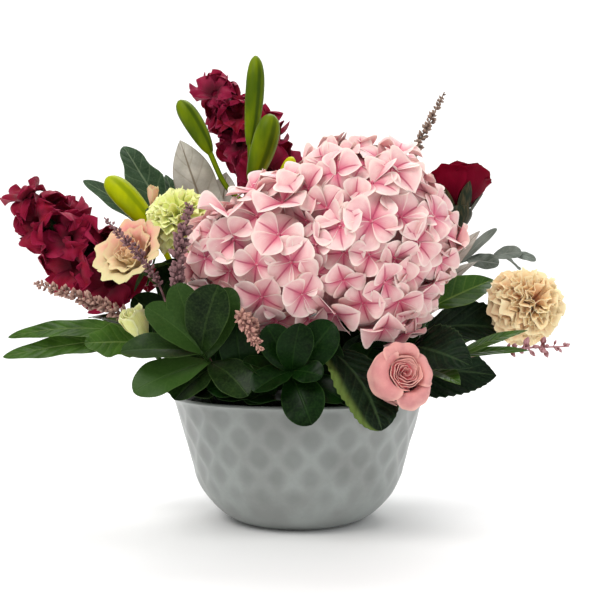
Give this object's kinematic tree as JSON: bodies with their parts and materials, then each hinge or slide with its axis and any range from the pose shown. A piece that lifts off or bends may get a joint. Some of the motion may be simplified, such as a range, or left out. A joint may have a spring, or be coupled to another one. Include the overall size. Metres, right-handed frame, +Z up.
{
  "type": "floral table centerpiece",
  "caption": "Low round arrangement of cut flowers and foliage standing in wet foam inside a glazed bowl with a quilted diamond relief.",
  "frame": {"origin": "centre of the bowl's flat foot, on the table", "axes": "+Z up, -Y towards the arrangement's front, +X to the right seen from the front"},
  "size_m": [0.4379, 0.2482, 0.371],
  "materials": {
    "bowl_glaze": "pearly glaze, satin to gloss",
    "foam_green": "open-celled, matte",
    "hydrangea_petal": "soft matte petals",
    "rose_petal": "soft satin petals",
    "dark_rose_petal": "velvety petals",
    "peach_petal": "soft matte petals",
    "lime_petal": "soft matte petals",
    "blush_petal": "soft satin petals",
    "cream_petal": "soft satin petals",
    "snapdragon_petal": "velvety petals",
    "spike_bud": "matte",
    "lily_bud_green": "waxy",
    "stem_green": "satin",
    "dark_leaf": "glossy",
    "mid_leaf": "satin",
    "grey_leaf": "matte, felted"
  },
  "bodies": {
    "root": {"bowl": "bowl_glaze", "foam": "foam_green", "hydrangea_head": "hydrangea_petal", "hydrangea_stem": "dark_leaf", "pink_rose_head": "rose_petal", "dark_rose_head": "dark_rose_petal", "peach_carnation_head": "peach_petal", "lime_carnation_head": "lime_petal", "blush_lisianthus_head": "blush_petal", "cream_bud_head": "cream_petal", "snapdragon_tall_flowers": "snapdragon_petal", "snapdragon_left_flowers": "snapdragon_petal", "lily_buds_tall": "lily_bud_green", "lily_bud_left": "lily_bud_green", "pink_rose_stem": "stem_green", "dark_rose_stem": "stem_green", "peach_carnation_stem": "stem_green", "lime_carnation_stem": "stem_green", "blush_lisianthus_stem": "stem_green", "cream_bud_stem": "stem_green", "snapdragon_tall_stem": "stem_green", "snapdragon_left_stem": "stem_green", "bud_spike_tall": "spike_bud", "bud_spike_upright": "spike_bud", "bud_spike_left": "spike_bud", "bud_spike_blush": "spike_bud", "bud_spike_drooping": "spike_bud", "bud_spike_right": "spike_bud", "glossy_spray_left": "dark_leaf", "glossy_spray_front": "dark_leaf", "glossy_spray_upright": "dark_leaf", "dark_spray_front": "dark_leaf", "dark_spray_inner": "dark_leaf", "low_spray_left": "dark_leaf", "dark_spray_left": "dark_leaf", "dark_spray_back": "dark_leaf", "glossy_spray_back": "dark_leaf", "glossy_spray_back_left": "dark_leaf", "glossy_spray_back_right": "dark_leaf", "lobed_leaf_back": "dark_leaf", "broad_spray_right": "mid_leaf", "lance_spray_right": "mid_leaf", "lobed_leaf_left": "mid_leaf", "silver_leaf_left": "grey_leaf", "silver_leaf_right": "grey_leaf", "eucalyptus_sprig": "grey_leaf"}
  },
  "joints": []
}
